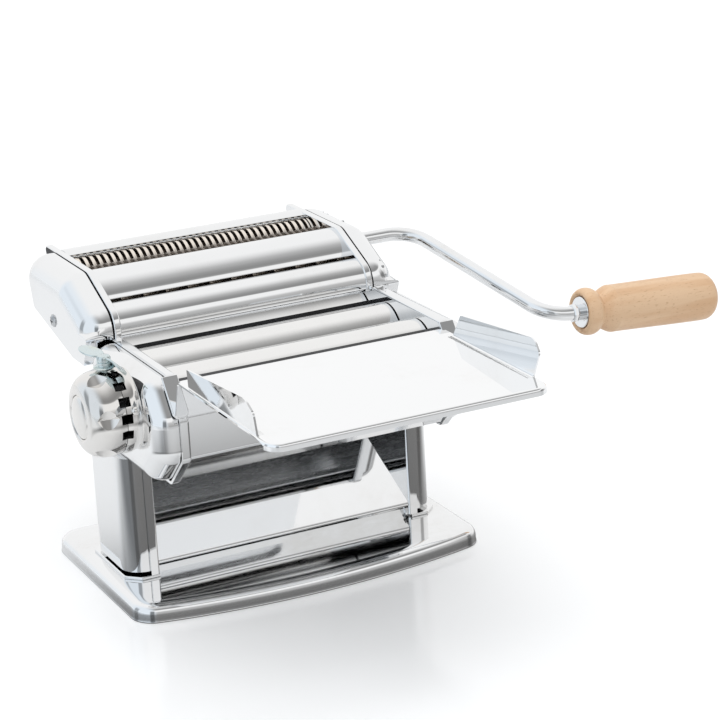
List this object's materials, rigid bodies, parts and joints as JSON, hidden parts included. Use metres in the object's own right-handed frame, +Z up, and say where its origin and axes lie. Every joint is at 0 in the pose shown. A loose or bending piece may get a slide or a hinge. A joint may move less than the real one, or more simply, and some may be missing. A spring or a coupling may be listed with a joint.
{
  "type": "pasta machine",
  "caption": "hand-cranked dough rolling machine on a stamped foot, with smooth rollers, a lift-off cutter head, a feed tray, a gap knob and a pull-out crank with a wooden grip",
  "frame": {"origin": "on the table, under the middle of the foot", "axes": "+X towards the crank, +Y to the back where the cutter head sits, +Z up"},
  "size_m": [0.381, 0.3, 0.1617],
  "materials": {
    "polished_steel": "polished",
    "roller_steel": "satin",
    "gear_steel": "machined",
    "cutter_steel": "satin",
    "zinc": "zinc plated",
    "beech": "waxed"
  },
  "bodies": {
    "frame": {"base_plate": "polished_steel", "chute_plate": "polished_steel", "front_guard": "polished_steel", "front_scraper": "gear_steel", "knob_collar": "polished_steel", "left_frame_plate": "polished_steel", "left_housing": "polished_steel", "left_leg_cover": "polished_steel", "rear_guard": "polished_steel", "rear_scraper": "gear_steel", "right_frame_plate": "polished_steel", "right_housing": "polished_steel", "right_leg_cover": "polished_steel", "tie_rods": "gear_steel"},
    "rear_roller": {"rear_roller": "roller_steel", "rear_roller_gear": "gear_steel"},
    "gap_carriage": {"left_bearing_block": "gear_steel", "right_bearing_block": "gear_steel", "carriage_bar": "gear_steel"},
    "front_roller": {"front_roller": "roller_steel", "front_roller_gear": "gear_steel"},
    "knob_shaft": {"knob_shaft": "gear_steel", "knob_spring": "gear_steel"},
    "knob_cap": {"knob_cap": "polished_steel", "knob_face": "polished_steel"},
    "wing_screw": {"wing_screw": "zinc"},
    "tray": {"tray": "polished_steel"},
    "cutter_head": {"cutter_front_cover": "polished_steel", "cutter_left_cover": "polished_steel", "cutter_left_plate": "polished_steel", "cutter_middle_cover": "polished_steel", "cutter_rear_cover": "polished_steel", "cutter_right_cover": "polished_steel", "cutter_right_plate": "polished_steel", "cutter_screws": "gear_steel", "narrow_drive_comb": "gear_steel", "narrow_follow_comb": "gear_steel", "wide_drive_comb": "gear_steel", "wide_follow_comb": "gear_steel"},
    "narrow_drive": {"narrow_drive_roller": "cutter_steel", "narrow_drive_gear": "gear_steel"},
    "narrow_follow": {"narrow_follow_roller": "cutter_steel", "narrow_follow_gear": "gear_steel"},
    "wide_drive": {"wide_drive_roller": "cutter_steel", "wide_drive_gear": "gear_steel"},
    "wide_follow": {"wide_follow_roller": "cutter_steel", "wide_follow_gear": "gear_steel"},
    "crank": {"crank_rod": "polished_steel", "crank_ferrule": "polished_steel"},
    "grip": {"grip": "beech"}
  },
  "joints": [
    {"name": "roller_turn", "type": "hinge", "parent": "frame", "child": "rear_roller", "pos_m": [0, -0.0075, 0.1137], "axis": [1, 0, 0], "continuous": true},
    {"name": "gap_slide", "type": "slide", "parent": "frame", "child": "gap_carriage", "axis": [0, 1, 0], "range_m": [0, 0.002]},
    {"name": "front_roller_turn", "type": "hinge", "parent": "gap_carriage", "child": "front_roller", "pos_m": [0, -0.0437, 0.1137], "axis": [1, 0, 0], "continuous": true},
    {"name": "knob_turn", "type": "hinge", "parent": "frame", "child": "knob_shaft", "pos_m": [-0.093, -0.0437, 0.1137], "axis": [-1, 0, 0], "range_deg": [0, 156]},
    {"name": "knob_pull", "type": "slide", "parent": "knob_shaft", "child": "knob_cap", "axis": [-1, 0, 0], "range_m": [0, 0.004], "stiffness_N_per_m": 900, "springref_m": -0.004},
    {"name": "wing_turn", "type": "hinge", "parent": "knob_cap", "child": "wing_screw", "pos_m": [-0.1039, -0.0437, 0.1347], "axis": [0, 0, -1], "range_deg": [0, 50]},
    {"name": "tray_lift", "type": "slide", "parent": "frame", "child": "tray", "axis": [0, 0, 1], "range_m": [0, 0.04]},
    {"name": "cutter_lift", "type": "slide", "parent": "frame", "child": "cutter_head", "axis": [0, 0, 1], "range_m": [0, 0.05]},
    {"name": "crank_turn", "type": "hinge", "parent": "cutter_head", "child": "narrow_drive", "pos_m": [0, 0.0665, 0.1464], "axis": [1, 0, 0], "continuous": true},
    {"name": "narrow_follow_turn", "type": "hinge", "parent": "cutter_head", "child": "narrow_follow", "pos_m": [0, 0.09, 0.1464], "axis": [1, 0, 0], "continuous": true},
    {"name": "wide_turn", "type": "hinge", "parent": "cutter_head", "child": "wide_drive", "pos_m": [0, 0.0435, 0.1367], "axis": [1, 0, 0], "continuous": true},
    {"name": "wide_follow_turn", "type": "hinge", "parent": "cutter_head", "child": "wide_follow", "pos_m": [0, 0.0245, 0.1367], "axis": [1, 0, 0], "continuous": true},
    {"name": "crank_pull", "type": "slide", "parent": "narrow_drive", "child": "crank", "axis": [1, 0, 0], "range_m": [0, 0.03]},
    {"name": "grip_turn", "type": "hinge", "parent": "crank", "child": "grip", "pos_m": [0.15334, -0.0487, 0.11887], "axis": [0.9981, 0, -0.061], "continuous": true}
  ],
  "couplings": [
    {"joint": "knob_turn", "follows": "gap_slide", "rad_per_m": 1361},
    {"joint": "front_roller_turn", "follows": "roller_turn", "ratio": -1},
    {"joint": "narrow_follow_turn", "follows": "crank_turn", "ratio": -1},
    {"joint": "wide_follow_turn", "follows": "wide_turn", "ratio": -1}
  ]
}
